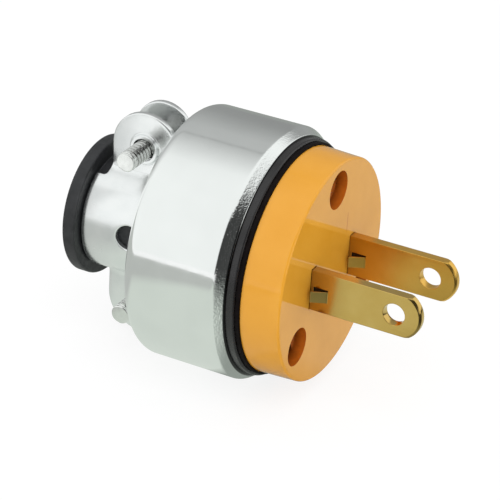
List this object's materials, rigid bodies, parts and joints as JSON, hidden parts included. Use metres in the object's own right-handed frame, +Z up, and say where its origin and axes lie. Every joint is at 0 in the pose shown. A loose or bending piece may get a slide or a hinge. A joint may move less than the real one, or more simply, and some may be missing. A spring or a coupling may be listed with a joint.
{
  "type": "industrial plug",
  "caption": "Round industrial mains plug: a steel-armoured body with an orange insulating face, flat brass blades and a split rear clamp that grips a cord in a rubber bushing.",
  "frame": {"origin": "centre of the flat front face, where it meets a socket outlet", "axes": "+X out along the blades, +Y from the near blade to the far one, +Z up across the width of the blades"},
  "size_m": [0.0566, 0.0384, 0.0384],
  "materials": {
    "orange_plastic": "moulded, glossy",
    "black_plastic": "moulded, satin",
    "black_rubber": "moulded, dull",
    "zinc_steel": "pressed steel, bright zinc plate",
    "screw_steel": "bright zinc plate",
    "brass": "rolled and stamped, bright"
  },
  "bodies": {
    "root": {"insulator_face": "orange_plastic", "seal_ring": "black_plastic", "inner_body": "black_plastic", "steel_shell": "zinc_steel", "cord_bushing": "black_rubber", "blade_near": "brass", "blade_far": "brass", "terminal_plate_near": "brass", "terminal_plate_far": "brass", "terminal_screw_near": "brass", "terminal_screw_far": "brass", "clamp_half_near": "zinc_steel", "clamp_half_far": "zinc_steel", "face_screw_top": "screw_steel", "face_screw_near": "screw_steel", "face_screw_far": "screw_steel", "weld_nut_top": "screw_steel", "weld_nut_near": "screw_steel", "weld_nut_far": "screw_steel", "clamp_screw_upper": "screw_steel", "clamp_screw_lower": "screw_steel"}
  },
  "joints": []
}
